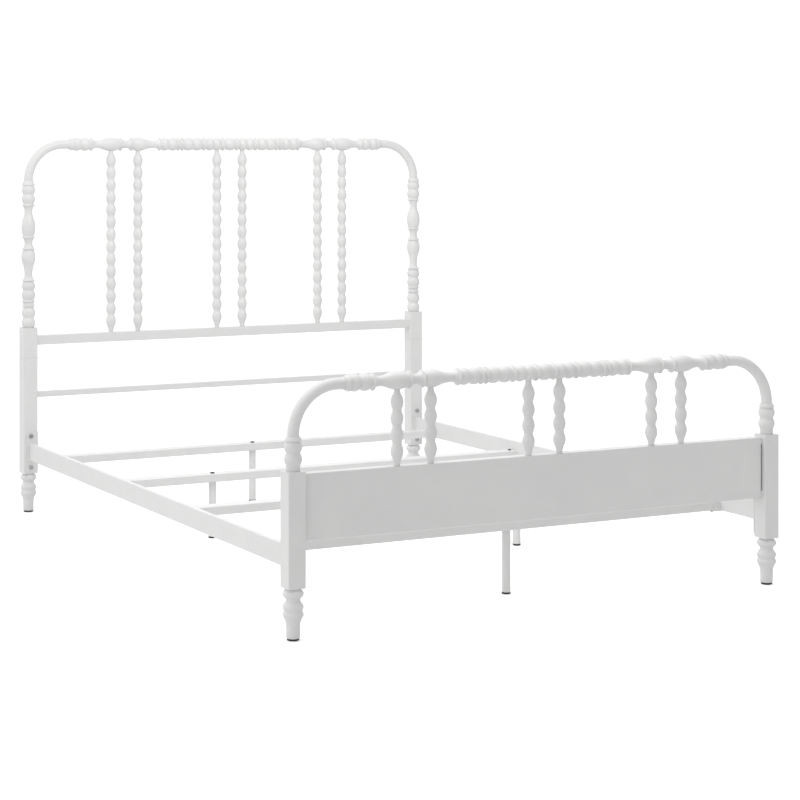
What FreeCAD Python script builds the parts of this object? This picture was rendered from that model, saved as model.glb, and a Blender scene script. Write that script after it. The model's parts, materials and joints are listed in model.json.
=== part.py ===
import FreeCAD, Part
import math
import os

# Spindle bed: a white metal bedstead with a tall arched headboard, a low arched
# footboard with a flat panel, two bolted side rails and four slats on legs.
# Millimetres.  Origin on the floor under the middle of the bed.  +Z is up, the
# footboard is at -Y, the headboard at +Y, and +X is to the right of a person
# standing at the foot and looking at the headboard.

Vector = FreeCAD.Vector

# ---------------------------------------------------------------- overall sizes
post_pitch_x = 1558.0        # left post axis to right post axis
post_pitch_y = 2100.0        # footboard post axis to headboard post axis
head_rail_z = 1293.5         # axis of the headboard's top rail
foot_rail_z = 664.0          # axis of the footboard's top rail
head_post_top = 648.5        # where the headboard's square post ends
foot_post_top = 442.0        # where the footboard's square post ends
head_split_z = 543.0         # where the headboard post comes apart for packing
fit_gap = 0.3                # clearance each side where one piece enters another

# ---------------------------------------------------------------- square posts
post_side = 51.0
post_wall = 1.5
post_corner_radius = 2.5
post_end_plate = 4.0         # plate welded in each closed end of a post
stub_diameter = 23.4         # round stub on the post top, inside the turned column
stub_height = 25.0
post_joiner_below = 80.0     # how far the inner sleeve reaches under and over the split
post_joiner_above = 60.0
post_joiner_bolt_offset = 40.0
post_joiner_corner_radius = 1.0

# ---------------------------------------------------------------- bent corner tubes
tube_diameter = 32.0
tube_wall = 1.2
bend_radius = 129.5          # of the tube's axis
column_tube_showing = 1.0    # straight tube seen between a head column and its bend
rail_tube_showing = 20.5     # straight tube seen between a top rail and its bend
socket_depth = 25.0          # how far a corner tube enters a turned piece

# ---------------------------------------------------------------- turned pieces
groove_diameter = 38.5       # the level that beads and rings rise from
neck_diameter = 28.0         # the narrow places between vases
collar_mouth_diameter = 36.5
collar_rim_diameter = 46.5
bead_rise = 4.8              # how far each shape stands out of its chord
vase_rise = 5.8
cove_sink = 1.4
ring_edge_diameter = 46.5    # a ring slopes up to its edge, which is rounded
ring_edge_length = 3.0
ring_edge_rise = 1.5
ring_slope_length = 2.0
turned_bore = stub_diameter + 2 * fit_gap  # the castings are hollow
rail_centre_half = 115.0     # half the length of the top rail's middle casting
foot_column_length = 91.0    # the short column on each footboard post
foot_column_neck = 38.0

# ---------------------------------------------------------------- spindles
spindle_outer_x = 468.0      # distances of the six spindles from the middle
spindle_inner_x = 364.0
spindle_centre_x = 51.0
spindle_pitch = 44.2         # one bead and one neck
spindle_bead_length = 33.0
spindle_bead_base = 27.5
spindle_bead_rise = 3.9
spindle_neck_sink = 1.2
spindle_end_diameter = 17.0
spindle_bore = 12.0
spindle_end_least = 12.0     # shortest plain end beyond the beads
spindle_reach = 19.0         # the spindle's top lies this far under the rail's axis
spindle_plain_below = 1.5    # the plain tenon goes on this far under the rail's fattest place

# ---------------------------------------------------------------- crossbars
upper_crossbar_size = 33.0   # square tube, its top carries the headboard spindles
upper_crossbar_top = 620.0
lower_crossbar_size = 20.0
lower_crossbar_top = 422.0
crossbar_wall = 1.2
crossbar_corner_radius = 2.0

# ---------------------------------------------------------------- footboard panel
panel_bottom = 258.0
panel_top_drop = 8.0         # the panel's top edge lies this far under the post top
panel_recess = 13.5          # front of the panel behind the front of the posts
panel_sheet = 1.2
panel_end_gap = 5.0          # dark gap between the sheets' ends and the post
panel_bar_depth = 34.0
panel_bar_height = 20.0
panel_bar_wall = 1.2

# ---------------------------------------------------------------- turned feet
turned_foot_length = 131.5
foot_disc_base = 40.0
foot_disc_rise = 8.5
foot_waist_diameter = 39.0
foot_bead_base = 50.0
foot_bead_rise = 3.0
foot_neck_sink = 0.6
foot_shank_sink = 2.0
foot_shank_top_diameter = 37.5
foot_shank_end_diameter = 36.0
foot_stud_diameter = 10.0
foot_stud_length = 14.0
glide_diameter = 33.0
glide_height = 5.5
glide_edge = 1.5
glide_stem_diameter = 6.0
glide_stem_length = 12.0

# ---------------------------------------------------------------- side rails
side_rail_height = 60.0
side_rail_thickness = 15.0
side_rail_wall = 1.2
side_rail_bottom = 184.0
side_rail_outside = 6.0      # the rail's outer face beyond its posts' axes
side_rail_corner_radius = 2.0
rail_seam_y = 48.0           # the seam lies a little towards the headboard
seam_gap = 0.6               # fine line seen where two lengths of tube meet
rail_joiner_length = 192.0
rail_joiner_wall = 2.0
rail_joiner_bolt_offset = 50.0

# ---------------------------------------------------------------- rail end brackets
bracket_width = 40.0
bracket_height = 137.0
bracket_plate = 3.0
bracket_tongue_length = 70.0
bracket_tongue_wall = 2.5
bracket_bolt_spacing = 110.0
bracket_corner_radius = 1.0

# ---------------------------------------------------------------- slats
slat_width = 50.0
slat_height = 26.0
slat_wall = 1.2
slat_corner_radius = 2.0
slat_top = 212.0
head_slat_from_post = 155.0  # slat axis to headboard post axis
foot_slat_from_post = 228.0  # slat axis to footboard post axis
middle_slat_from_seam = 275.0
saddle_length = 28.0
saddle_wall = 2.5
saddle_side_height = 18.0

# ---------------------------------------------------------------- support legs
leg_diameter = 25.0
leg_wall = 1.2
leg_plug_length = 20.0
leg_offset_x = 20.0          # every slat's legs stand this far to the right of its middle
middle_leg_spacing = 830.0   # between the two legs of a middle slat
levelling_foot_diameter = 26.0
levelling_foot_height = 5.0
levelling_stem_diameter = 8.0
levelling_stem_length = 32.0

# ---------------------------------------------------------------- bolts
bracket_bolt = {"head": 15.0, "head_height": 5.0, "shank": 8.0, "length": 18.0}
joiner_bolt = {"head": 12.0, "head_height": 3.5, "shank": 6.0, "length": 10.0}
post_bolt = {"head": 12.0, "head_height": 2.5, "shank": 6.0, "length": 10.0}
slat_bolt = {"head": 11.0, "head_height": 3.0, "shank": 6.0, "length": 34.0}
leg_bolt = {"head": 14.0, "head_height": 3.5, "shank": 8.0, "length": 38.0}
hex_socket_share = 0.45      # socket across its corners, as a share of the head
hex_socket_depth = 1.8
bolt_head_edge = 1.2
slat_nut_across_corners = 11.0
slat_nut_height = 5.0
nut_thread_gap = 0.2

# ---------------------------------------------------------------- places worked out
post_x = post_pitch_x / 2
head_y = post_pitch_y / 2
foot_y = -post_pitch_y / 2
post_half = post_side / 2
post_bottom = turned_foot_length + glide_height
between_posts = post_pitch_x - post_side
spindle_tenon = groove_diameter / 2 + vase_rise - spindle_reach + spindle_plain_below
rail_outer_x = post_x + side_rail_outside
rail_inner_x = rail_outer_x - side_rail_thickness
rail_middle_z = side_rail_bottom + side_rail_height / 2
slat_bottom = slat_top - slat_height
slat_end_x = rail_inner_x - fit_gap
panel_top = foot_post_top - panel_top_drop
panel_front_y = foot_y - post_half + panel_recess
panel_bar_front_y = panel_front_y + panel_sheet
panel_back_y = panel_bar_front_y + panel_bar_depth
slat_places = {
    "slat_1_head": head_y - head_slat_from_post,
    "slat_2": rail_seam_y + middle_slat_from_seam,
    "slat_3": rail_seam_y - middle_slat_from_seam,
    "slat_4_foot": foot_y + foot_slat_from_post,
}
left_leg_x = leg_offset_x - middle_leg_spacing / 2
right_leg_x = leg_offset_x + middle_leg_spacing / 2
leg_places = {
    "head_centre": (leg_offset_x, slat_places["slat_1_head"]),
    "upper_left": (left_leg_x, slat_places["slat_2"]),
    "upper_right": (right_leg_x, slat_places["slat_2"]),
    "lower_left": (left_leg_x, slat_places["slat_3"]),
    "lower_right": (right_leg_x, slat_places["slat_3"]),
    "foot_centre": (leg_offset_x, slat_places["slat_4_foot"]),
}
SIDES = {"left": -1, "right": 1}


# ---------------------------------------------------------------- basic shapes
def save(name, solids):
    """Write one node; several solids of one node stay separate."""
    shape = solids[0] if len(solids) == 1 else Part.makeCompound(solids)
    shape.exportStep(os.path.join("parts", name + ".step"))


def moved(shape, x, y, z):
    copy = shape.copy()
    copy.translate(Vector(x, y, z))
    return copy


def cylinder(diameter, length, start, direction):
    return Part.makeCylinder(diameter / 2, length, start, direction)


def box_between(low, high):
    size = high - low
    return Part.makeBox(size.x, size.y, size.z, low)


def edges_along(shape, direction):
    """The straight edges of a box that run along one of its axes."""
    found = []
    for edge in shape.Edges:
        run = edge.Vertexes[1].Point - edge.Vertexes[0].Point
        if abs(run.dot(direction)) > 0.99 * run.Length:
            found.append(edge)
    return found


def box_tube(low, high, direction, wall, corner_radius):
    """A rectangular tube from corner low to corner high, open at both ends."""
    outer = box_between(low, high)
    outer = outer.makeFillet(corner_radius, edges_along(outer, direction))
    inset = Vector(wall, wall, wall)
    along = Vector(direction).multiply(2 * wall)
    inner = box_between(low + inset - along, high - inset + along)
    return outer.cut(inner)


def hexagon(across_corners, x, y, z):
    """A flat six-sided face round a vertical axis."""
    corners = []
    for index in range(7):
        angle = math.radians(60 * index)
        out = Vector(math.cos(angle), math.sin(angle), 0) * (across_corners / 2)
        corners.append(Vector(x, y, z) + out)
    return Part.Face(Part.makePolygon(corners))


def bolt(size, head_at, towards):
    """A bolt whose head's underside lies at head_at; its shank points towards."""
    head = Part.makeCylinder(size["head"] / 2, size["head_height"])
    head = head.makeFillet(bolt_head_edge, [head.Edges[0]])
    shank = Part.makeCylinder(size["shank"] / 2, size["length"], Vector(0, 0, -size["length"]))
    socket_floor = size["head_height"] - hex_socket_depth
    socket = hexagon(size["head"] * hex_socket_share, 0, 0, socket_floor)
    socket = socket.extrude(Vector(0, 0, hex_socket_depth))
    solid = head.fuse(shank).removeSplitter().cut(socket)
    turn = FreeCAD.Rotation(Vector(0, 0, -1), towards)
    solid.Placement = FreeCAD.Placement(head_at, turn)
    return solid


# ---------------------------------------------------------------- turned work
# A turned outline is a list of steps from one end to the other.  Each step has
# its length, the diameter that it ends at and how far it stands out of (or sinks
# into) the straight line between its ends.
def collar(length):
    return [(length, collar_rim_diameter, 0.0)]


def groove(length):
    return [(length, groove_diameter, 0.0)]


def bead(length):
    return [(length, groove_diameter, bead_rise)]


def ring():
    return [
        (ring_slope_length, ring_edge_diameter, 0.0),
        (ring_edge_length, ring_edge_diameter, ring_edge_rise),
        (ring_slope_length, groove_diameter, 0.0),
    ]


def vase(length):
    return [(length, groove_diameter, vase_rise)]


def narrow(length):
    return [(length, neck_diameter, -cove_sink)]


def widen(length):
    return [(length, groove_diameter, -cove_sink)]


# The long pattern of the headboard columns and of both top rails, from the end
# that takes the corner tube.
long_pattern = (
    collar(13) + groove(3) + bead(28) + groove(3) + bead(29) + groove(5) + ring()
    + narrow(18) + widen(24) + vase(61) + groove(2) + ring()
    + narrow(17) + widen(17) + ring() + vase(52) + narrow(36) + widen(16)
    + ring() + groove(3) + bead(26) + groove(4) + bead(30) + groove(3)
    + ring() + groove(9) + ring() + groove(5) + bead(32) + groove(3) + bead(33)
)
# The short pattern of the footboard columns.
short_pattern = (
    collar(11) + groove(2) + bead(28) + groove(3) + bead(29)
    + [(2, foot_column_neck, 0.0), (14, foot_column_neck, 0.0)]
)
# The middle casting of a top rail: a wide bead with the same shapes on each side.
# One side reads the same from both of its ends.
centre_side = (
    groove(7) + ring() + groove(8) + bead(24) + groove(5) + bead(24)
    + groove(8) + ring() + groove(7)
)
centre_pattern = centre_side + bead(36) + centre_side
# A corner foot, from the square post down to its glide.
foot_pattern = [
    (3, foot_disc_base, 0.0),
    (24, foot_disc_base, foot_disc_rise),
    (6, foot_waist_diameter, 0.0),
    (8, foot_bead_base, -foot_neck_sink),
    (16, foot_bead_base, foot_bead_rise),
    (3, foot_bead_base, 0.0),
    (16, foot_bead_base, foot_bead_rise),
    (24, foot_shank_top_diameter, -foot_shank_sink),
    (29, foot_shank_end_diameter, 0.0),
]


def turned(start_diameter, steps, length):
    """Turn the outline round Z, from z = 0 to z = length."""
    stretch = length / sum(step[0] for step in steps)
    station = 0.0
    here = Vector(start_diameter / 2, 0, 0)
    edges = [Part.LineSegment(Vector(0, 0, 0), here).toShape()]
    for step_length, end_diameter, rise in steps:
        station += step_length * stretch
        there = Vector(end_diameter / 2, 0, station)
        if rise:
            middle = (here + there) * 0.5 + Vector(rise * stretch, 0, 0)
            edges.append(Part.Arc(here, middle, there).toShape())
        else:
            edges.append(Part.LineSegment(here, there).toShape())
        here = there
    edges.append(Part.LineSegment(here, Vector(0, 0, station)).toShape())
    edges.append(Part.LineSegment(Vector(0, 0, station), Vector(0, 0, 0)).toShape())
    outline = Part.Face(Part.Wire(edges))
    return outline.revolve(Vector(0, 0, 0), Vector(0, 0, 1), 360)


def hollow_turned(start_diameter, steps, length):
    """A turned casting with a bore right through and a tube socket at z = 0."""
    socket = cylinder(tube_diameter + 2 * fit_gap, socket_depth, Vector(0, 0, 0), Vector(0, 0, 1))
    bore = cylinder(turned_bore, length, Vector(0, 0, 0), Vector(0, 0, 1))
    return turned(start_diameter, steps, length).cut(socket.fuse(bore))


def pointed(shape, start, direction):
    """Lay a shape built along +Z so that it starts at start and runs along direction."""
    laid = shape.copy()
    laid.Placement = FreeCAD.Placement(start, FreeCAD.Rotation(Vector(0, 0, 1), direction))
    return laid


# ---------------------------------------------------------------- arches
def corner_tube(side, y, rail_z, rail_end_x, column_top):
    """The bent tube between a column and the top rail, with its ends in both."""
    turned_in = socket_depth - fit_gap
    bend_x = post_x - bend_radius
    bend_z = rail_z - bend_radius
    down = Part.makeLine(Vector(post_x, 0, column_top - turned_in), Vector(post_x, 0, bend_z))
    centre = Vector(bend_x, 0, bend_z)
    diagonal = bend_radius * math.sqrt(0.5)
    bend = Part.Arc(
        Vector(post_x, 0, bend_z),
        centre + Vector(diagonal, 0, diagonal),
        Vector(bend_x, 0, rail_z),
    ).toShape()
    across = Part.makeLine(Vector(bend_x, 0, rail_z), Vector(rail_end_x - turned_in, 0, rail_z))
    path = Part.Wire([down, bend, across])
    start = Vector(post_x, 0, column_top - turned_in)
    solids = []
    for diameter in (tube_diameter, tube_diameter - 2 * tube_wall):
        circle = Part.makeCircle(diameter / 2, start, Vector(0, 0, 1))
        solids.append(path.makePipeShell([Part.Wire([circle])], True, False))
    tube = solids[0].cut(solids[1])
    if side < 0:
        tube = tube.mirror(Vector(0, 0, 0), Vector(1, 0, 0))
    return moved(tube, 0, y, 0)


def spindle_sockets(y, rail_z, top_z):
    """The six round sockets in a top rail's underside."""
    sockets = []
    for x in spindle_xs():
        start = Vector(x, y, rail_z - groove_diameter)
        depth = top_z + fit_gap - start.z
        sockets.append(cylinder(spindle_end_diameter + 2 * fit_gap, depth, start, Vector(0, 0, 1)))
    return sockets


def spindle_xs():
    right = [spindle_centre_x, spindle_inner_x, spindle_outer_x]
    return [-x for x in right] + right


def top_rail(prefix, y, rail_z, rail_end_x):
    """The top rail: a middle casting between two long ones, joined by stubs."""
    sockets = spindle_sockets(y, rail_z, rail_z - spindle_reach)
    long_casting = hollow_turned(collar_mouth_diameter, long_pattern, rail_end_x - rail_centre_half)
    for name, side in SIDES.items():
        start = Vector(side * rail_end_x, y, rail_z)
        casting = pointed(long_casting, start, Vector(-side, 0, 0))
        save(f"{prefix}_turned_rail_{name}", [casting.cut(sockets)])
    middle = turned(groove_diameter, centre_pattern, 2 * rail_centre_half)
    middle = pointed(middle, Vector(-rail_centre_half, y, rail_z), Vector(1, 0, 0))
    reach = rail_centre_half + stub_height
    stub = cylinder(stub_diameter, 2 * reach, Vector(-reach, y, rail_z), Vector(1, 0, 0))
    middle = middle.fuse(stub).removeSplitter()
    save(f"{prefix}_turned_rail_centre", [middle.cut(sockets)])


def spindle(bottom_z, top_z):
    """One beaded spindle: as many whole beads as fit, tapered ends and a plain tenon on top."""
    length = top_z - bottom_z
    beads = int((length - 2 * spindle_end_least) / spindle_pitch)
    neck_length = spindle_pitch - spindle_bead_length
    beaded = beads * spindle_pitch - neck_length
    end_length = (length - beaded) / 2
    steps = [(end_length, spindle_bead_base, -spindle_neck_sink)]
    for index in range(beads):
        steps.append((spindle_bead_length, spindle_bead_base, spindle_bead_rise))
        if index < beads - 1:
            steps.append((neck_length, spindle_bead_base, -spindle_neck_sink))
    steps.append((end_length - spindle_tenon, spindle_end_diameter, -spindle_neck_sink))
    steps.append((spindle_tenon, spindle_end_diameter, 0.0))
    bore = cylinder(spindle_bore, length, Vector(0, 0, 0), Vector(0, 0, 1))
    return moved(turned(spindle_end_diameter, steps, length).cut(bore), 0, 0, bottom_z)


def spindle_pairs(prefix, y, bottom_z, top_z):
    one = spindle(bottom_z, top_z)
    pairs = {
        "left": (-spindle_outer_x, -spindle_inner_x),
        "centre": (-spindle_centre_x, spindle_centre_x),
        "right": (spindle_inner_x, spindle_outer_x),
    }
    for name, places in pairs.items():
        save(f"{prefix}_spindles_{name}", [moved(one, x, y, 0) for x in places])


def arch(prefix, y, rail_z, column_top, column, spindle_bottom):
    """Everything above the posts at one end of the bed."""
    rail_end_x = post_x - bend_radius - rail_tube_showing
    for name, side in SIDES.items():
        save(f"{prefix}_corner_tube_{name}", [corner_tube(side, y, rail_z, rail_end_x, column_top)])
        start = Vector(side * post_x, y, column_top)
        save(f"{prefix}_turned_column_{name}", [pointed(column, start, Vector(0, 0, -1))])
    top_rail(prefix, y, rail_z, rail_end_x)
    spindle_pairs(prefix, y, spindle_bottom, rail_z - spindle_reach)


# ---------------------------------------------------------------- posts
def post(bottom, top, closed_bottom, closed_top):
    """A square tube; a closed end has a plate, and a closed top has a stub too."""
    low = Vector(-post_half, -post_half, bottom)
    high = Vector(post_half, post_half, top)
    solid = box_tube(low, high, Vector(0, 0, 1), post_wall, post_corner_radius)
    inside = Vector(post_half - post_wall, post_half - post_wall, 0)
    if closed_bottom:
        lift = Vector(0, 0, post_end_plate)
        plate = box_between(Vector(0, 0, bottom) - inside, Vector(0, 0, bottom) + inside + lift)
        stud_hole = cylinder(
            foot_stud_diameter + 2 * fit_gap, post_end_plate, Vector(0, 0, bottom), Vector(0, 0, 1)
        )
        solid = solid.fuse(plate.cut(stud_hole))
    if closed_top:
        drop = Vector(0, 0, post_end_plate)
        plate = box_between(Vector(0, 0, top) - inside - drop, Vector(0, 0, top) + inside)
        stub = cylinder(stub_diameter, stub_height, Vector(0, 0, top), Vector(0, 0, 1))
        solid = solid.fuse([plate, stub])
    return solid.removeSplitter()


def headboard_posts():
    """Each headboard post is two tubes on one inner sleeve, bolted from behind."""
    joiners = []
    bolts = []
    joiner_side = post_half - post_wall - fit_gap
    for name, side in SIDES.items():
        x = side * post_x
        holes = []
        for z in (head_split_z - post_joiner_bolt_offset, head_split_z + post_joiner_bolt_offset):
            diameter = post_bolt["shank"] + 2 * fit_gap
            holes.append(cylinder(diameter, post_side, Vector(x, head_y, z), Vector(0, 1, 0)))
            bolts.append(bolt(post_bolt, Vector(x, head_y + post_half, z), Vector(0, -1, 0)))
        upper = moved(post(head_split_z, head_post_top, False, True), x, head_y, 0)
        lower = moved(post(post_bottom, head_split_z - seam_gap, True, False), x, head_y, 0)
        save(f"headboard_upper_post_{name}", [upper.cut(holes)])
        save(f"headboard_lower_post_{name}", [lower.cut(holes + bracket_bolt_holes(side, head_y))])
        low = Vector(x - joiner_side, head_y - joiner_side, head_split_z - post_joiner_below)
        high = Vector(x + joiner_side, head_y + joiner_side, head_split_z + post_joiner_above)
        sleeve = box_tube(low, high, Vector(0, 0, 1), post_wall, post_joiner_corner_radius)
        joiners.append(sleeve.cut(holes))
    save("headboard_post_joiners", joiners)
    save("headboard_post_joiner_bolts", bolts)


def footboard_posts():
    for name, side in SIDES.items():
        solid = moved(post(post_bottom, foot_post_top, True, True), side * post_x, foot_y, 0)
        save(f"footboard_post_{name}", [solid.cut(bracket_bolt_holes(side, foot_y))])


def crossbar(name, size, top):
    half_length = between_posts / 2
    low = Vector(-half_length, head_y - size / 2, top - size)
    high = Vector(half_length, head_y + size / 2, top)
    save(name, [box_tube(low, high, Vector(1, 0, 0), crossbar_wall, crossbar_corner_radius)])


def footboard_panel():
    """A sheet on the front and the back of two tubes that run from post to post."""
    half_length = between_posts / 2
    for name, top in (("top", panel_top), ("bottom", panel_bottom + panel_bar_height)):
        low = Vector(-half_length, panel_bar_front_y, top - panel_bar_height)
        high = Vector(half_length, panel_back_y, top)
        bar = box_tube(low, high, Vector(1, 0, 0), panel_bar_wall, crossbar_corner_radius)
        save(f"footboard_{name}_bar", [bar])
    sheet_half = half_length - panel_end_gap
    sheets = []
    for y in (panel_front_y, panel_back_y):
        low = Vector(-sheet_half, y, panel_bottom)
        high = Vector(sheet_half, y + panel_sheet, panel_top)
        sheets.append(box_between(low, high))
    save("footboard_panel_sheets", sheets)


def corner_feet():
    """Four turned feet, each with a stud into its post and a black glide below."""
    body = turned(foot_waist_diameter, foot_pattern, turned_foot_length)
    body = pointed(body, Vector(0, 0, post_bottom), Vector(0, 0, -1))
    stud = cylinder(foot_stud_diameter, foot_stud_length, Vector(0, 0, post_bottom), Vector(0, 0, 1))
    stem_hole = cylinder(
        glide_stem_diameter + 2 * fit_gap,
        glide_stem_length + fit_gap,
        Vector(0, 0, glide_height),
        Vector(0, 0, 1),
    )
    body = body.fuse(stud).removeSplitter().cut(stem_hole)
    pad = Part.makeCylinder(glide_diameter / 2, glide_height)
    pad = pad.makeChamfer(glide_edge, [pad.Edges[2]])
    stem = cylinder(glide_stem_diameter, glide_stem_length, Vector(0, 0, glide_height), Vector(0, 0, 1))
    glide = pad.fuse(stem).removeSplitter()
    glides = []
    for end, y in (("head", head_y), ("foot", foot_y)):
        for name, side in SIDES.items():
            save(f"turned_foot_{end}_{name}", [moved(body, side * post_x, y, 0)])
            glides.append(moved(glide, side * post_x, y, 0))
    save("corner_glides", glides)


# ---------------------------------------------------------------- side rails
def bracket_middle_x(side):
    """The bracket's inner edge is flush with the inner face of its post."""
    return side * (post_x - post_half + bracket_width / 2)


def bracket_bolt_heights():
    return [rail_middle_z - bracket_bolt_spacing / 2, rail_middle_z + bracket_bolt_spacing / 2]


def bracket_bolt_holes(side, y):
    """The two holes for a side rail's bracket, through the post's face towards the bed."""
    towards_bed = Vector(0, -math.copysign(1, y), 0)
    diameter = bracket_bolt["shank"] + 2 * fit_gap
    holes = []
    for z in bracket_bolt_heights():
        start = Vector(side * post_x, y, z)
        holes.append(cylinder(diameter, post_side, start, towards_bed))
    return holes


def rail_box(side, y_low, y_high, inset):
    """Opposite corners of a stretch of side rail, drawn in by inset all round."""
    x_low, x_high = sorted((side * rail_inner_x, side * rail_outer_x))
    low = Vector(x_low + inset, y_low, side_rail_bottom + inset)
    high = Vector(x_high - inset, y_high, side_rail_bottom + side_rail_height - inset)
    return low, high


def rail_bracket(side, y):
    """A plate on the post with a box tongue that the rail's end is pushed over."""
    post_face = y - math.copysign(post_half, y)
    plate_face = post_face - math.copysign(bracket_plate, y)
    tongue_end = plate_face - math.copysign(bracket_tongue_length, y)
    half_width = bracket_width / 2
    y_low, y_high = sorted((post_face, plate_face))
    low = Vector(bracket_middle_x(side) - half_width, y_low, rail_middle_z - bracket_height / 2)
    high = Vector(bracket_middle_x(side) + half_width, y_high, rail_middle_z + bracket_height / 2)
    plate = box_between(low, high).cut(bracket_bolt_holes(side, y))
    y_low, y_high = sorted((plate_face, tongue_end))
    low, high = rail_box(side, y_low, y_high, side_rail_wall + fit_gap)
    tongue = box_tube(low, high, Vector(0, 1, 0), bracket_tongue_wall, bracket_corner_radius)
    return plate.fuse(tongue)


def side_rails():
    brackets = []
    bracket_bolts = []
    joiners = []
    joiner_bolts = []
    head_end = head_y - post_half - bracket_plate
    foot_end = foot_y + post_half + bracket_plate
    for name, side in SIDES.items():
        holes = []
        for offset in (-rail_joiner_bolt_offset, rail_joiner_bolt_offset):
            inner_face = Vector(side * rail_inner_x, rail_seam_y + offset, rail_middle_z)
            outward = Vector(side, 0, 0)
            start = inner_face - outward * side_rail_thickness
            reach = 1.5 * side_rail_thickness
            holes.append(cylinder(joiner_bolt["shank"] + 2 * fit_gap, reach, start, outward))
            joiner_bolts.append(bolt(joiner_bolt, inner_face, outward))
        for end, y_low, y_high in (
            ("head", rail_seam_y + seam_gap / 2, head_end),
            ("foot", foot_end, rail_seam_y - seam_gap / 2),
        ):
            low, high = rail_box(side, y_low, y_high, 0.0)
            half = box_tube(low, high, Vector(0, 1, 0), side_rail_wall, side_rail_corner_radius)
            save(f"side_rail_{name}_{end}_half", [half.cut(holes)])
        reach = rail_joiner_length / 2
        low, high = rail_box(side, rail_seam_y - reach, rail_seam_y + reach, side_rail_wall + fit_gap)
        joiner = box_tube(low, high, Vector(0, 1, 0), rail_joiner_wall, bracket_corner_radius)
        joiners.append(joiner.cut(holes))
        for y in (head_y, foot_y):
            brackets.append(rail_bracket(side, y))
            plate_face = y - math.copysign(post_half + bracket_plate, y)
            for z in bracket_bolt_heights():
                head_at = Vector(side * post_x, plate_face, z)
                bracket_bolts.append(bolt(bracket_bolt, head_at, Vector(0, math.copysign(1, y), 0)))
    save("side_rail_brackets", brackets)
    save("side_rail_bracket_bolts", bracket_bolts)
    save("side_rail_joiners", joiners)
    save("side_rail_joiner_bolts", joiner_bolts)


# ---------------------------------------------------------------- slats and legs
def saddle(side, y):
    """A shallow channel on the rail's inner face that the slat's end lies in."""
    x_low, x_high = sorted((side * (rail_inner_x - saddle_length), side * rail_inner_x))
    half_width = slat_width / 2 + fit_gap + saddle_wall
    low = Vector(x_low, y - half_width, slat_bottom - saddle_wall)
    high = Vector(x_high, y + half_width, slat_bottom + saddle_side_height)
    outer = box_between(low, high)
    space_half = slat_width / 2 + fit_gap
    space = box_between(
        Vector(x_low, y - space_half, slat_bottom),
        Vector(x_high, y + space_half, slat_top),
    )
    return outer.cut([space, slat_end_bolt_hole(side, y)])


def slat_end_bolt_x(side):
    return side * (rail_inner_x - saddle_length / 2)


def slat_end_bolt_hole(side, y):
    start = Vector(slat_end_bolt_x(side), y, slat_bottom - 2 * saddle_wall)
    return cylinder(slat_bolt["shank"] + 2 * fit_gap, 2 * slat_height, start, Vector(0, 0, 1))


def leg_bolt_hole(x, y):
    start = Vector(x, y, slat_bottom - leg_plug_length)
    length = leg_plug_length + 2 * slat_height
    return cylinder(leg_bolt["shank"] + 2 * fit_gap, length, start, Vector(0, 0, 1))


def nut(x, y, top):
    bottom = top - slat_nut_height
    block = hexagon(slat_nut_across_corners, x, y, bottom).extrude(Vector(0, 0, slat_nut_height))
    diameter = slat_bolt["shank"] + 2 * nut_thread_gap
    return block.cut(cylinder(diameter, slat_nut_height, Vector(x, y, bottom), Vector(0, 0, 1)))


def slats():
    saddles = []
    end_bolts = []
    for name, y in slat_places.items():
        low = Vector(-slat_end_x, y - slat_width / 2, slat_bottom)
        high = Vector(slat_end_x, y + slat_width / 2, slat_top)
        solid = box_tube(low, high, Vector(1, 0, 0), slat_wall, slat_corner_radius)
        holes = [leg_bolt_hole(x, leg_y) for x, leg_y in leg_places.values() if leg_y == y]
        for side in SIDES.values():
            holes.append(slat_end_bolt_hole(side, y))
            saddles.append(saddle(side, y))
            x = slat_end_bolt_x(side)
            end_bolts.append(bolt(slat_bolt, Vector(x, y, slat_top), Vector(0, 0, -1)))
            end_bolts.append(nut(x, y, slat_bottom - saddle_wall))
        save(name, [solid.cut(holes)])
    save("slat_saddles", saddles)
    save("slat_end_bolts_and_nuts", end_bolts)


def support_legs():
    """Six round legs with solid ends, each bolted up to its slat."""
    leg_bottom = levelling_foot_height + fit_gap
    leg_length = slat_bottom - leg_bottom
    tube = cylinder(leg_diameter, leg_length, Vector(0, 0, leg_bottom), Vector(0, 0, 1))
    hollow = cylinder(
        leg_diameter - 2 * leg_wall,
        leg_length - 2 * leg_plug_length,
        Vector(0, 0, leg_bottom + leg_plug_length),
        Vector(0, 0, 1),
    )
    stem_hole = cylinder(
        levelling_stem_diameter + 2 * fit_gap,
        leg_plug_length,
        Vector(0, 0, leg_bottom),
        Vector(0, 0, 1),
    )
    tube = tube.cut([hollow, stem_hole, leg_bolt_hole(0, 0)])
    legs = []
    bolts = []
    for x, y in leg_places.values():
        legs.append(moved(tube, x, y, 0))
        bolts.append(bolt(leg_bolt, Vector(x, y, slat_top), Vector(0, 0, -1)))
    save("support_legs", legs)
    save("support_leg_bolts", bolts)


def levelling_feet():
    """A screw foot under each support leg, shown screwed right in."""
    pad = Part.makeCylinder(levelling_foot_diameter / 2, levelling_foot_height)
    pad = pad.makeChamfer(glide_edge, [pad.Edges[2]])
    stem = cylinder(
        levelling_stem_diameter,
        levelling_stem_length,
        Vector(0, 0, levelling_foot_height),
        Vector(0, 0, 1),
    )
    foot = pad.fuse(stem).removeSplitter()
    for name, (x, y) in leg_places.items():
        save(f"levelling_foot_{name}", [moved(foot, x, y, 0)])


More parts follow.
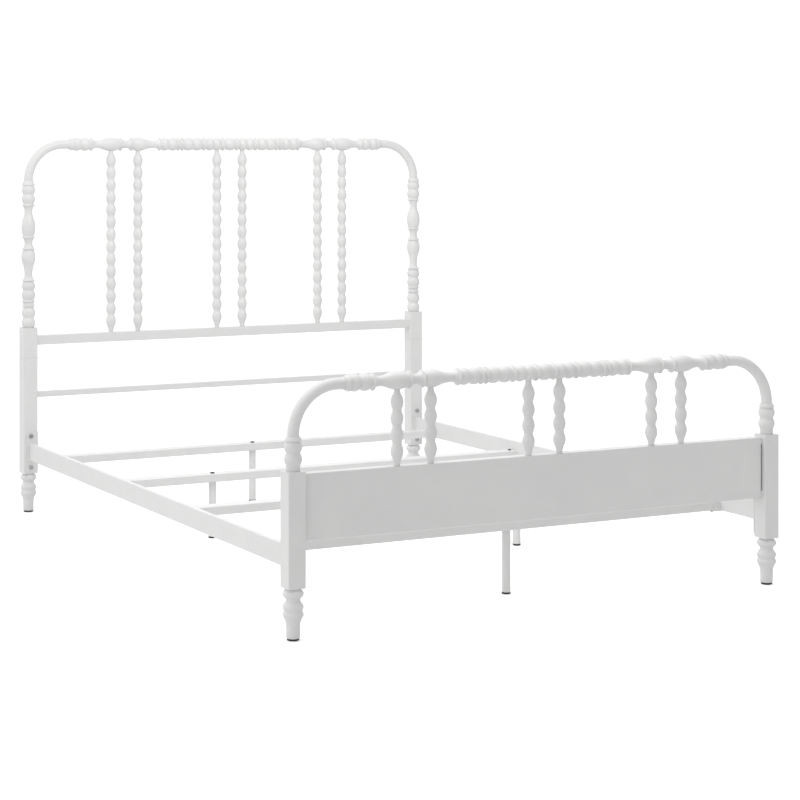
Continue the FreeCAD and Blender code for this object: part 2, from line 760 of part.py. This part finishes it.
# ---------------------------------------------------------------- the whole bed
def build():
    os.makedirs("parts", exist_ok=True)
    head_column_top = head_rail_z - bend_radius - column_tube_showing
    head_column_length = head_column_top - head_post_top
    head_column = hollow_turned(collar_mouth_diameter, long_pattern, head_column_length)
    foot_column_top = foot_post_top + foot_column_length
    foot_column = hollow_turned(collar_mouth_diameter, short_pattern, foot_column_length)
    arch("headboard", head_y, head_rail_z, head_column_top, head_column, upper_crossbar_top)
    arch("footboard", foot_y, foot_rail_z, foot_column_top, foot_column, panel_top)
    headboard_posts()
    footboard_posts()
    crossbar("headboard_upper_crossbar", upper_crossbar_size, upper_crossbar_top)
    crossbar("headboard_lower_crossbar", lower_crossbar_size, lower_crossbar_top)
    footboard_panel()
    corner_feet()
    side_rails()
    slats()
    support_legs()
    levelling_feet()


build()
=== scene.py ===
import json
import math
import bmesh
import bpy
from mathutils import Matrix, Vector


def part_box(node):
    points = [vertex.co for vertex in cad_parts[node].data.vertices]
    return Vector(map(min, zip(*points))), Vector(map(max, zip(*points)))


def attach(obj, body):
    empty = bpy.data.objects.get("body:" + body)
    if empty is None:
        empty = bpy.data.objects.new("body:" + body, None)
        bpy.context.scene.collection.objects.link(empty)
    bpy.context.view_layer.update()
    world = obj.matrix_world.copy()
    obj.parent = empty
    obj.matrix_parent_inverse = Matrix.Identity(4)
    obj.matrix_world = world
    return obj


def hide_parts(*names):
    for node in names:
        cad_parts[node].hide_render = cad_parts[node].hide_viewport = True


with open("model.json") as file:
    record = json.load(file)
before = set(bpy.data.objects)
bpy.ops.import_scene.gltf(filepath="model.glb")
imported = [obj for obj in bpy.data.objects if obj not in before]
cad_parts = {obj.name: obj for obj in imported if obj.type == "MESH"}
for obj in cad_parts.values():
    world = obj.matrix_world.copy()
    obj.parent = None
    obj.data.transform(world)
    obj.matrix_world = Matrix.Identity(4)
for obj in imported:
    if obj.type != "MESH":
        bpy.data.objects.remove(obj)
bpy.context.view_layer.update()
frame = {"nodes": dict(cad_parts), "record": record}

# %% [markdown]
# # A white spindle bed
#
# The real bed is a steel bedstead with turned castings pushed over its tubes.
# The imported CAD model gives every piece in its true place, in metres, so
# nothing here is fitted by eye.  The lesson dresses that frame: first the
# camera, light and floor, then one paint for tubes and one for castings, and
# then new rounded meshes for the turned work and the bent tubes.

# %% [markdown]
# ## The camera
#
# The photograph was taken from the left of the foot, with upright lines kept
# upright, as a view camera does: the camera looks level and its film is
# shifted instead of tilted.  A long lens keeps the posts nearly parallel.

# %% Set the camera
camera_place = Vector((-3.1910, -5.9163, 1.3071))
camera_yaw = math.radians(-26.287)
level = math.pi / 2
lens_mm = 93.41
film_width_mm = 36.0
film_shift_across = 0.1372
film_shift_up = -0.3245
camera_data = bpy.data.cameras.new("camera")
camera_data.lens = lens_mm
camera_data.sensor_width = film_width_mm
camera_data.shift_x = film_shift_across
camera_data.shift_y = film_shift_up
camera = bpy.data.objects.new("camera", camera_data)
camera.location = camera_place
camera.rotation_euler = (level, 0.0, camera_yaw)
bpy.context.scene.collection.objects.link(camera)
bpy.context.scene.camera = camera
print("camera", tuple(round(value, 2) for value in camera_place), "lens", camera_data.lens)

# %% [markdown]
# ## The light
#
# A studio lights white furniture with big soft sources and leaves the side
# towards the camera a little darker, or white would vanish into white.  The
# world is bright behind, above and to the left, and dimmer in front.  One
# softbox hangs just behind the footboard, so that it lights the headboard and
# the slats and leaves the panel alone.  The camera itself sees a white backdrop
# on every side.  White goods also need a plain view of the light, without a
# film look over it.

# %% Make the world brighter on one side
bright_direction = Vector((-0.45, 0.75, 0.35)).normalized()
dim_up_to = -0.6
bright_from = 0.45
dim_strength = 0.54
bright_strength = 1.17
white = (1.0, 1.0, 1.0, 1.0)
world = bpy.data.worlds.new("studio")
bpy.context.scene.world = world
bpy.context.scene.view_settings.view_transform = "Standard"
world.use_nodes = True
world_nodes = world.node_tree.nodes
world_links = world.node_tree.links
world_nodes.clear()
sky_direction = world_nodes.new("ShaderNodeTexCoord")
bright_side = world_nodes.new("ShaderNodeVectorMath")
bright_side.operation = "DOT_PRODUCT"
bright_side.inputs[1].default_value = bright_direction
spread = world_nodes.new("ShaderNodeMapRange")
spread.interpolation_type = "SMOOTHSTEP"
spread.inputs["From Min"].default_value = dim_up_to
spread.inputs["From Max"].default_value = bright_from
spread.inputs["To Min"].default_value = dim_strength
spread.inputs["To Max"].default_value = bright_strength

# %% Let the camera itself see white
camera_ray = world_nodes.new("ShaderNodeLightPath")
backdrop = world_nodes.new("ShaderNodeMath")
backdrop.operation = "MAXIMUM"
background = world_nodes.new("ShaderNodeBackground")
background.inputs["Color"].default_value = white
world_output = world_nodes.new("ShaderNodeOutputWorld")
world_links.new(sky_direction.outputs["Generated"], bright_side.inputs[0])
world_links.new(bright_side.outputs["Value"], spread.inputs["Value"])
world_links.new(spread.outputs["Result"], backdrop.inputs[0])
world_links.new(camera_ray.outputs["Is Camera Ray"], backdrop.inputs[1])
world_links.new(backdrop.outputs["Value"], background.inputs["Strength"])
world_links.new(background.outputs["Background"], world_output.inputs["Surface"])
print("world strength from", dim_strength, "to", bright_strength)


# %% Hang the softbox
def softbox(name, place, target, size, power):
    data = bpy.data.lights.new(name, "AREA")
    data.shape = "RECTANGLE"
    data.size, data.size_y = size
    data.energy = power
    lamp = bpy.data.objects.new(name, data)
    lamp.location = place
    lamp.rotation_euler = (Vector(target) - Vector(place)).to_track_quat("-Z", "Y").to_euler()
    bpy.context.scene.collection.objects.link(lamp)
    print("softbox", name, "power", power)


softbox(
    "headboard_softbox",
    place=(-0.3, -0.8, 2.3),
    target=(0.0, 1.05, 0.8),
    size=(2.6, 1.2),
    power=22.0,
)

# %% [markdown]
# ## The floor
#
# A single sheet of pale paper, wide enough to fill the view.  The camera sees
# it overlit and nearly white.  The bed sees it greyer, so that the undersides
# of white beads still turn dark.

# %% Lay the floor
floor_reach = 14.0
floor_drop = 0.0005
floor_mesh = bmesh.new()
bmesh.ops.create_grid(floor_mesh, x_segments=1, y_segments=1, size=floor_reach)
floor_data = bpy.data.meshes.new("floor")
floor_mesh.to_mesh(floor_data)
floor_mesh.free()
floor = bpy.data.objects.new("floor", floor_data)
floor.location.z = -floor_drop
bpy.context.scene.collection.objects.link(floor)
print("floor", 2 * floor_reach, "m wide")

# %% Give it paper
tone_for_bed = (0.80, 0.80, 0.80, 1.0)
tone_for_camera = (0.95, 0.95, 0.95, 1.0)
glow_for_camera = 0.22
paper_roughness = 0.9
paper_gloss = 0.1
floor_paper = bpy.data.materials.new("floor_paper")
floor_paper.use_nodes = True
paper_shader = floor_paper.node_tree.nodes["Principled BSDF"]
paper_shader.inputs["Roughness"].default_value = paper_roughness
paper_shader.inputs["Specular IOR Level"].default_value = paper_gloss
paper_shader.inputs["Emission Color"].default_value = white
paper_links = floor_paper.node_tree.links
seen = floor_paper.node_tree.nodes.new("ShaderNodeLightPath")
paper_tone = floor_paper.node_tree.nodes.new("ShaderNodeMix")
paper_tone.data_type = "RGBA"
paper_tone.inputs["A"].default_value = tone_for_bed
paper_tone.inputs["B"].default_value = tone_for_camera
paper_glow = floor_paper.node_tree.nodes.new("ShaderNodeMath")
paper_glow.operation = "MULTIPLY"
paper_glow.inputs[1].default_value = glow_for_camera
paper_links.new(seen.outputs["Is Camera Ray"], paper_tone.inputs["Factor"])
paper_links.new(seen.outputs["Is Camera Ray"], paper_glow.inputs[0])
paper_links.new(paper_tone.outputs["Result"], paper_shader.inputs["Base Color"])
paper_links.new(paper_glow.outputs["Value"], paper_shader.inputs["Emission Strength"])
floor_data.materials.append(floor_paper)

# %% [markdown]
# ## The paint
#
# Powder coat is dry paint baked on.  It melts into a skin with faint dimples
# a few millimetres apart, called orange peel, and its shine drifts a little
# from place to place.  Both effects go on every painted piece, so they are one
# shader node group with its own inputs, and each material sets its own values.


# %% A helper for node groups
def new_group(name, inputs, outputs):
    """A shader node group, its input node and its output node."""
    group = bpy.data.node_groups.new(name, "ShaderNodeTree")
    for socket, kind, value in inputs:
        made = group.interface.new_socket(name=socket, in_out="INPUT", socket_type=kind)
        made.default_value = value
    for socket, kind in outputs:
        group.interface.new_socket(name=socket, in_out="OUTPUT", socket_type=kind)
    group_in = group.nodes.new("NodeGroupInput")
    group_out = group.nodes.new("NodeGroupOutput")
    return group, group_in, group_out


def noise_node(tree, coordinates, scale, detail, roughness):
    """Noise on object coordinates; scale, a number or a socket, is in cells per metre."""
    noise = tree.nodes.new("ShaderNodeTexNoise")
    tree.links.new(coordinates, noise.inputs["Vector"])
    if isinstance(scale, float):
        noise.inputs["Scale"].default_value = scale
    else:
        tree.links.new(scale, noise.inputs["Scale"])
    noise.inputs["Detail"].default_value = detail
    noise.inputs["Roughness"].default_value = roughness
    return noise


noise_low = 0.35
noise_high = 0.65


def remap(tree, value, low, high):
    """Bring a noise value, which stays near one half, to the range low to high."""
    node = tree.nodes.new("ShaderNodeMapRange")
    tree.links.new(value, node.inputs["Value"])
    node.inputs["From Min"].default_value = noise_low
    node.inputs["From Max"].default_value = noise_high
    for socket, target in (("To Min", low), ("To Max", high)):
        if isinstance(target, float):
            node.inputs[socket].default_value = target
        else:
            tree.links.new(target, node.inputs[socket])
    return node.outputs["Result"]


# %% The skin group: dimples, drifting shine and faint clouds of tone
clouds_per_metre = 9.0
drifts_per_metre = 34.0
dimple_height = 0.0006
skin, skin_in, skin_out = new_group(
    "paint_skin",
    [
        ("Paint", "NodeSocketColor", (0.7, 0.7, 0.7, 1.0)),
        ("Thin Paint", "NodeSocketColor", (0.6, 0.6, 0.6, 1.0)),
        ("Dimples Per Metre", "NodeSocketFloat", 420.0),
        ("Dimple Depth", "NodeSocketFloat", 0.1),
        ("Shiny", "NodeSocketFloat", 0.30),
        ("Dull", "NodeSocketFloat", 0.42),
    ],
    [
        ("Color", "NodeSocketColor"),
        ("Roughness", "NodeSocketFloat"),
        ("Normal", "NodeSocketVector"),
    ],
)
on_piece = skin.nodes.new("ShaderNodeTexCoord").outputs["Object"]
dimple_scale = skin_in.outputs["Dimples Per Metre"]
dimples = noise_node(skin, on_piece, dimple_scale, detail=1.5, roughness=0.45)
clouds = noise_node(skin, on_piece, clouds_per_metre, detail=3.0, roughness=0.6)
shine = noise_node(skin, on_piece, drifts_per_metre, detail=3.0, roughness=0.55)
tone = skin.nodes.new("ShaderNodeMix")
tone.data_type = "RGBA"
skin.links.new(remap(skin, clouds.outputs["Fac"], 0.0, 1.0), tone.inputs["Factor"])
skin.links.new(skin_in.outputs["Paint"], tone.inputs["A"])
skin.links.new(skin_in.outputs["Thin Paint"], tone.inputs["B"])
bump = skin.nodes.new("ShaderNodeBump")
bump.inputs["Distance"].default_value = dimple_height
skin.links.new(skin_in.outputs["Dimple Depth"], bump.inputs["Strength"])
skin.links.new(dimples.outputs["Fac"], bump.inputs["Height"])
skin.links.new(tone.outputs["Result"], skin_out.inputs["Color"])
drift = remap(skin, shine.outputs["Fac"], skin_in.outputs["Shiny"], skin_in.outputs["Dull"])
skin.links.new(drift, skin_out.inputs["Roughness"])
skin.links.new(bump.outputs["Normal"], skin_out.inputs["Normal"])
print("group", skin.name, "has", len(skin.nodes), "nodes")


# %% Put the skin in a material
def painted(name, paint, thin_paint, dimples_per_metre, dimple_depth, shiny, dull):
    """A material with the skin; shiny and dull are the ends of its roughness."""
    material = bpy.data.materials.new(name)
    material.use_nodes = True
    tree = material.node_tree
    shader = tree.nodes["Principled BSDF"]
    coat = tree.nodes.new("ShaderNodeGroup")
    coat.node_tree = skin
    coat.inputs["Paint"].default_value = (*paint, 1.0)
    coat.inputs["Thin Paint"].default_value = (*thin_paint, 1.0)
    coat.inputs["Dimples Per Metre"].default_value = dimples_per_metre
    coat.inputs["Dimple Depth"].default_value = dimple_depth
    coat.inputs["Shiny"].default_value = shiny
    coat.inputs["Dull"].default_value = dull
    tree.links.new(coat.outputs["Color"], shader.inputs["Base Color"])
    tree.links.new(coat.outputs["Roughness"], shader.inputs["Roughness"])
    tree.links.new(coat.outputs["Normal"], shader.inputs["Normal"])
    return material


white_powder = (0.735, 0.735, 0.73)
tube_paint = painted(
    "white_tube_paint",
    paint=white_powder,
    thin_paint=(0.715, 0.715, 0.712),
    dimples_per_metre=420.0,
    dimple_depth=0.09,
    shiny=0.31,
    dull=0.38,
)
casting_paint = painted(
    "white_casting_paint",
    paint=white_powder,
    thin_paint=(0.705, 0.705, 0.702),
    dimples_per_metre=300.0,
    dimple_depth=0.12,
    shiny=0.29,
    dull=0.38,
)

# %% [markdown]
# ## Black plastic, dark bolts and bare steel
#
# The glides and screw feet are moulded plastic with a fine grain.  The bolts
# through the posts and rails are zinc with a dark finish, so they stay grey and
# metallic.  Those of the slats and legs are oiled black.  The sleeves inside
# the tubes are plain drawn steel.  The paint's skin group serves these too: its
# dimples, set finer, pass for the grain of a mould or of a metal surface.

# %% Black plastic and three metals
black_plastic = painted(
    "black_plastic",
    paint=(0.014, 0.014, 0.014),
    thin_paint=(0.022, 0.022, 0.022),
    dimples_per_metre=1400.0,
    dimple_depth=0.35,
    shiny=0.42,
    dull=0.60,
)
dark_bolt = painted(
    "dark_bolt",
    paint=(0.52, 0.53, 0.54),
    thin_paint=(0.36, 0.37, 0.38),
    dimples_per_metre=900.0,
    dimple_depth=0.20,
    shiny=0.26,
    dull=0.40,
)
black_bolt = painted(
    "black_bolt",
    paint=(0.020, 0.020, 0.021),
    thin_paint=(0.045, 0.045, 0.047),
    dimples_per_metre=900.0,
    dimple_depth=0.20,
    shiny=0.34,
    dull=0.50,
)
bare_steel = painted(
    "bare_steel",
    paint=(0.52, 0.52, 0.53),
    thin_paint=(0.42, 0.42, 0.44),
    dimples_per_metre=700.0,
    dimple_depth=0.12,
    shiny=0.28,
    dull=0.45,
)
for metal, metallic in ((dark_bolt, 0.9), (black_bolt, 0.5), (bare_steel, 1.0)):
    metal.node_tree.nodes["Principled BSDF"].inputs["Metallic"].default_value = metallic

# %% Give every CAD node the finish of its slot
finishes = {
    "white_tube": tube_paint,
    "white_castings": casting_paint,
    "black_plastic": black_plastic,
    "dark_bolts": dark_bolt,
    "bare_steel": bare_steel,
}
slot_of_node = {part["node"]: part["material_slot"] for part in frame["record"]["subparts"]}


def give_finish(piece, finish):
    piece.data.materials.clear()
    piece.data.materials.append(finish)


for node_name, node_object in frame["nodes"].items():
    give_finish(node_object, finishes[slot_of_node[node_name]])
nodes_with_black_bolts = ("slat_end_bolts_and_nuts", "support_leg_bolts")
for node_name in nodes_with_black_bolts:
    give_finish(frame["nodes"][node_name], black_bolt)
print("finished", len(slot_of_node), "nodes")

# %% [markdown]
# ## Turned work
#
# The beaded columns, rails, spindles and feet copy wood turned on a lathe, and
# are cast hollow and painted.  Blender's lathe is the spin operator: half of
# the outline is drawn once, then spun round the axis.  The outline is a list of
# steps, each with its length, the diameter that it ends at, and how far it
# bulges out between.  Paint rounds every corner, so the sharp rings left by
# the spin get a small bevel.

# %% The outline of a turned piece
mm = 0.001
points_per_bulge = 8


def outline_points(start_diameter, steps):
    """Radius and station of each point, in millimetres, along the outline.

    A bulge is a parabola: nothing at both ends of its step, full in the middle.
    """
    radius = start_diameter / 2
    station = 0.0
    points = [(radius, station)]
    for length, end_diameter, bulge in steps:
        count = points_per_bulge if bulge else 1
        for index in range(1, count + 1):
            share = index / count
            straight = radius + (end_diameter / 2 - radius) * share
            points.append((straight + 4 * bulge * share * (1 - share), station + length * share))
        radius = end_diameter / 2
        station += length
    return points


# %% Soften corners and finish a mesh
corner_angle = math.radians(18)
paint_corner = 0.5 * mm


def soften_corners(work):
    corners = [edge for edge in work.edges if edge.calc_face_angle(0.0) > corner_angle]
    bmesh.ops.bevel(
        work,
        geom=corners,
        offset=paint_corner,
        offset_type="OFFSET",
        segments=2,
        profile=0.5,
        affect="EDGES",
        clamp_overlap=True,
        material=-1,
    )


def finished(name, work):
    """Make an object of a bmesh, smooth all over, with its place in its mesh."""
    for face in work.faces:
        face.smooth = True
    data = bpy.data.meshes.new(name)
    work.to_mesh(data)
    work.free()
    piece = bpy.data.objects.new(name, data)
    bpy.context.scene.collection.objects.link(piece)
    return piece


# %% The lathe
round_sides = 48


def spun(name, points, start, end, sides=round_sides):
    """Spin an outline round the line from start to end, stretched to reach it."""
    axis = Vector(end) - Vector(start)
    stretch = axis.length / points[-1][1]
    work = bmesh.new()
    path = [work.verts.new((radius * mm, 0.0, station * stretch)) for radius, station in points]
    for lower, upper in zip(path, path[1:]):
        work.edges.new((lower, upper))
    bmesh.ops.spin(
        work,
        geom=work.verts[:] + work.edges[:],
        cent=(0, 0, 0),
        axis=(0, 0, 1),
        angle=math.tau,
        steps=sides,
        use_merge=True,
    )
    open_ends = [edge for edge in work.edges if edge.is_boundary]
    bmesh.ops.holes_fill(work, edges=open_ends, sides=0)
    bmesh.ops.recalc_face_normals(work, faces=work.faces[:])
    soften_corners(work)
    turn = Vector((0, 0, 1)).rotation_difference(axis).to_matrix().to_4x4()
    work.transform(Matrix.Translation(start) @ turn)
    return finished(name, work)


# %% Put a new piece in a node's place
def stand_for(piece, node, finish):
    """The piece takes the node's place, its body and a finish."""
    give_finish(piece, finish)
    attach(piece, "bed_frame")
    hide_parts(node)


# %% [markdown]
# ## The long beaded pattern
#
# The headboard's columns and both top rails use one casting pattern: a collar
# and two beads, a ring, a neck and a vase, a short waist between two rings, a
# second vase with a longer neck, and then beads between rings.

# %% Steps of the pattern
groove = 38.5
neck = 28.0
bead_bulge = 4.8
ring_edge = 46.5
ring_edge_length = 3.0
ring_edge_bulge = 1.5
ring_slope = 2.0
vase_bulge = 5.8
neck_hollow = -1.4


def flat(length):
    return [(length, groove, 0.0)]


def bead(length):
    return [(length, groove, bead_bulge)]


def ring():
    return [
        (ring_slope, ring_edge, 0.0),
        (ring_edge_length, ring_edge, ring_edge_bulge),
        (ring_slope, groove, 0.0),
    ]


def vase(length):
    return [(length, groove, vase_bulge)]


def waist(narrowing, widening):
    return [(narrowing, neck, neck_hollow), (widening, groove, neck_hollow)]


collar_mouth = 36.5
collar_rim = 46.5
long_collar = 13
long_pattern = (
    [(long_collar, collar_rim, 0.0)] + flat(3) + bead(28) + flat(3) + bead(29) + flat(5) + ring()
    + waist(18, 24) + vase(61) + flat(2) + ring() + waist(17, 17) + ring() + vase(52)
    + waist(36, 16) + ring() + flat(3) + bead(26) + flat(4) + bead(30) + flat(3) + ring()
    + flat(9) + ring() + flat(5) + bead(32) + flat(3) + bead(33)
)
long_outline = outline_points(collar_mouth, long_pattern)
print("long pattern", round(long_outline[-1][1]), "mm,", len(long_outline), "points")


# %% [markdown]
# ## Headboard columns and both top rails
#
# Each column runs down from its corner tube to the square post, and each rail
# casting runs in from its corner tube to the middle casting.  The ends come
# from the CAD nodes' own boxes.

# %% Spin the headboard columns
def upright_ends(node):
    """The top and the bottom of an upright node's middle line."""
    low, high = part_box(node)
    centre = (low + high) / 2
    return (centre.x, centre.y, high.z), (centre.x, centre.y, low.z)


for side in ("left", "right"):
    node = f"headboard_turned_column_{side}"
    top, bottom = upright_ends(node)
    stand_for(spun(f"column_head_{side}", long_outline, top, bottom), node, casting_paint)
    print(node, round(top[2] - bottom[2], 4), "m long")

# %% Spin the rails
centre_side = (
    flat(7) + ring() + flat(8) + bead(24) + flat(5) + bead(24) + flat(8) + ring() + flat(7)
)
centre_outline = outline_points(groove, centre_side + bead(36) + centre_side)
for end in ("headboard", "footboard"):
    inner_ends = []
    for side, sign in (("left", -1), ("right", 1)):
        node = f"{end}_turned_rail_{side}"
        low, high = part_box(node)
        outer_x, inner_x = (low.x, high.x) if sign < 0 else (high.x, low.x)
        centre = (low + high) / 2
        outer = (outer_x, centre.y, centre.z)
        inner = (inner_x, centre.y, centre.z)
        inner_ends.append(inner)
        stand_for(spun(f"{end}_rail_{side}", long_outline, outer, inner), node, casting_paint)
    middle = spun(f"{end}_rail_middle", centre_outline, *inner_ends)
    stand_for(middle, f"{end}_turned_rail_centre", casting_paint)
    print(end, "rail middle casting", round(inner_ends[1][0] - inner_ends[0][0], 4), "m")

# %% [markdown]
# ## Footboard columns and corner feet
#
# The footboard's columns are short: a collar, two beads and a plain neck.  The
# feet have a round disc, two fat beads and a slim shank, all on one axis.  A
# stud that goes up into the post stays hidden, so it isn't drawn.

# %% Outlines of the short column and of the foot
column_neck = 38.0
short_collar = 11
short_outline = outline_points(
    collar_mouth,
    [(short_collar, collar_rim, 0.0)] + flat(2) + bead(28) + flat(3) + bead(29)
    + [(2, column_neck, 0.0), (14, column_neck, 0.0)],
)
foot_disc = 40.0
foot_disc_bulge = 8.5
foot_bead = 50.0
foot_bead_length = 16
foot_bead_bulge = 3.0
foot_waist = 39.0
foot_waist_hollow = -0.6
foot_shank_top = 37.5
foot_shank_hollow = -2.0
foot_shank_end = 36.0
foot_outline = outline_points(
    foot_waist,
    [
        (3, foot_disc, 0.0),
        (24, foot_disc, foot_disc_bulge),
        (6, foot_waist, 0.0),
        (8, foot_bead, foot_waist_hollow),
        (foot_bead_length, foot_bead, foot_bead_bulge),
        (3, foot_bead, 0.0),
        (foot_bead_length, foot_bead, foot_bead_bulge),
        (24, foot_shank_top, foot_shank_hollow),
        (29, foot_shank_end, 0.0),
    ],
)
print("short column", short_outline[-1][1], "mm, foot", foot_outline[-1][1], "mm")

# %% Spin them
foot_stud_length = 14.0 * mm
for side in ("left", "right"):
    node = f"footboard_turned_column_{side}"
    top, bottom = upright_ends(node)
    stand_for(spun(f"column_foot_{side}", short_outline, top, bottom), node, casting_paint)
    for end in ("head", "foot"):
        node = f"turned_foot_{end}_{side}"
        stud_top, bottom = upright_ends(node)
        top = (*stud_top[:2], stud_top[2] - foot_stud_length)
        foot = spun(f"corner_foot_{end}_{side}", foot_outline, top, bottom)
        stand_for(foot, node, casting_paint)

# %% [markdown]
# ## Spindles
#
# A spindle is a string of equal beads with short necks, tapered at both ends.
# It stands on a flat bar and its plain top goes up into the rail.

# %% Spin the pairs
spindle_pitch = 44.2
spindle_bead_length = 33.0
spindle_bead_base = 27.5
spindle_bead_bulge = 3.9
spindle_hollow = -1.2
spindle_end = 17.0
spindle_tenon = 7.55
spindle_sides = 32


def spindle_outline(length):
    """The outline of a spindle of this length, and how many beads it has."""
    neck_length = spindle_pitch - spindle_bead_length
    beads = int((length - spindle_end) / spindle_pitch)
    end_length = (length - beads * spindle_pitch + neck_length) / 2
    steps = [(end_length, spindle_bead_base, spindle_hollow)]
    for index in range(beads):
        steps.append((spindle_bead_length, spindle_bead_base, spindle_bead_bulge))
        if index < beads - 1:
            steps.append((neck_length, spindle_bead_base, spindle_hollow))
    steps.append((end_length - spindle_tenon, spindle_end, spindle_hollow))
    steps.append((spindle_tenon, spindle_end, 0.0))
    return outline_points(spindle_end, steps), beads


for end in ("headboard", "footboard"):
    for pair in ("left", "centre", "right"):
        node = f"{end}_spindles_{pair}"
        low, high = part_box(node)
        radius = (high.y - low.y) / 2
        centre_y = (low.y + high.y) / 2
        outline, beads = spindle_outline((high.z - low.z) / mm)
        for number, x in enumerate((low.x + radius, high.x - radius), 1):
            name = f"{end}_spindle_{pair}_{number}"
            bottom = (x, centre_y, low.z)
            top = (x, centre_y, high.z)
            spindle = spun(name, outline, bottom, top, sides=spindle_sides)
            stand_for(spindle, node, casting_paint)
    print(end, "spindles have", beads, "beads")

# %% [markdown]
# ## Bent corner tubes
#
# A real corner is one steel tube bent round a former.  Here a circle is drawn
# up a little, spun a quarter turn about the bend's centre, and drawn along to
# the rail, so the wall stays round all the way.

# %% Draw a tube on
tube_radius = 16.0 * mm
bend_radius = 129.5 * mm
bend_steps = 28


def drawn_on(work, rim, along):
    """Draw a rim of edges out along a line and give back the new rim."""
    drawn = bmesh.ops.extrude_edge_only(work, edges=rim)["geom"]
    verts = [item for item in drawn if isinstance(item, bmesh.types.BMVert)]
    edges = [item for item in drawn if isinstance(item, bmesh.types.BMEdge)]
    bmesh.ops.translate(work, verts=verts, vec=along)
    moved = set(verts)
    return [edge for edge in edges if set(edge.verts) <= moved]


# %% Bend the tubes
def bent_tube(name, node, sign):
    """A corner tube on the right, mirrored for the left, where sign is -1."""
    low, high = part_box(node)
    rail_z = high.z - tube_radius
    column_x = max(abs(low.x), abs(high.x)) - tube_radius
    rail_end_x = min(abs(low.x), abs(high.x))
    centre_y = (low.y + high.y) / 2
    work = bmesh.new()
    bmesh.ops.create_circle(work, segments=round_sides, radius=tube_radius)
    bmesh.ops.translate(work, verts=work.verts[:], vec=(column_x, centre_y, low.z))
    rim = drawn_on(work, work.edges[:], (0, 0, rail_z - bend_radius - low.z))
    bend = bmesh.ops.spin(
        work,
        geom=rim + list({vert for edge in rim for vert in edge.verts}),
        cent=(column_x - bend_radius, centre_y, rail_z - bend_radius),
        axis=(0, -1, 0),
        angle=math.pi / 2,
        steps=bend_steps,
        use_merge=False,
    )
    rim = [item for item in bend["geom_last"] if isinstance(item, bmesh.types.BMEdge)]
    drawn_on(work, rim, (rail_end_x - column_x + bend_radius, 0, 0))
    if sign < 0:
        bmesh.ops.scale(work, verts=work.verts[:], vec=(-1, 1, 1))
    bmesh.ops.recalc_face_normals(work, faces=work.faces[:])
    return finished(name, work)


for end in ("headboard", "footboard"):
    for side, sign in (("left", -1), ("right", 1)):
        node = f"{end}_corner_tube_{side}"
        stand_for(bent_tube(f"{end}_bend_{side}", node, sign), node, tube_paint)
        print(node, "bent")
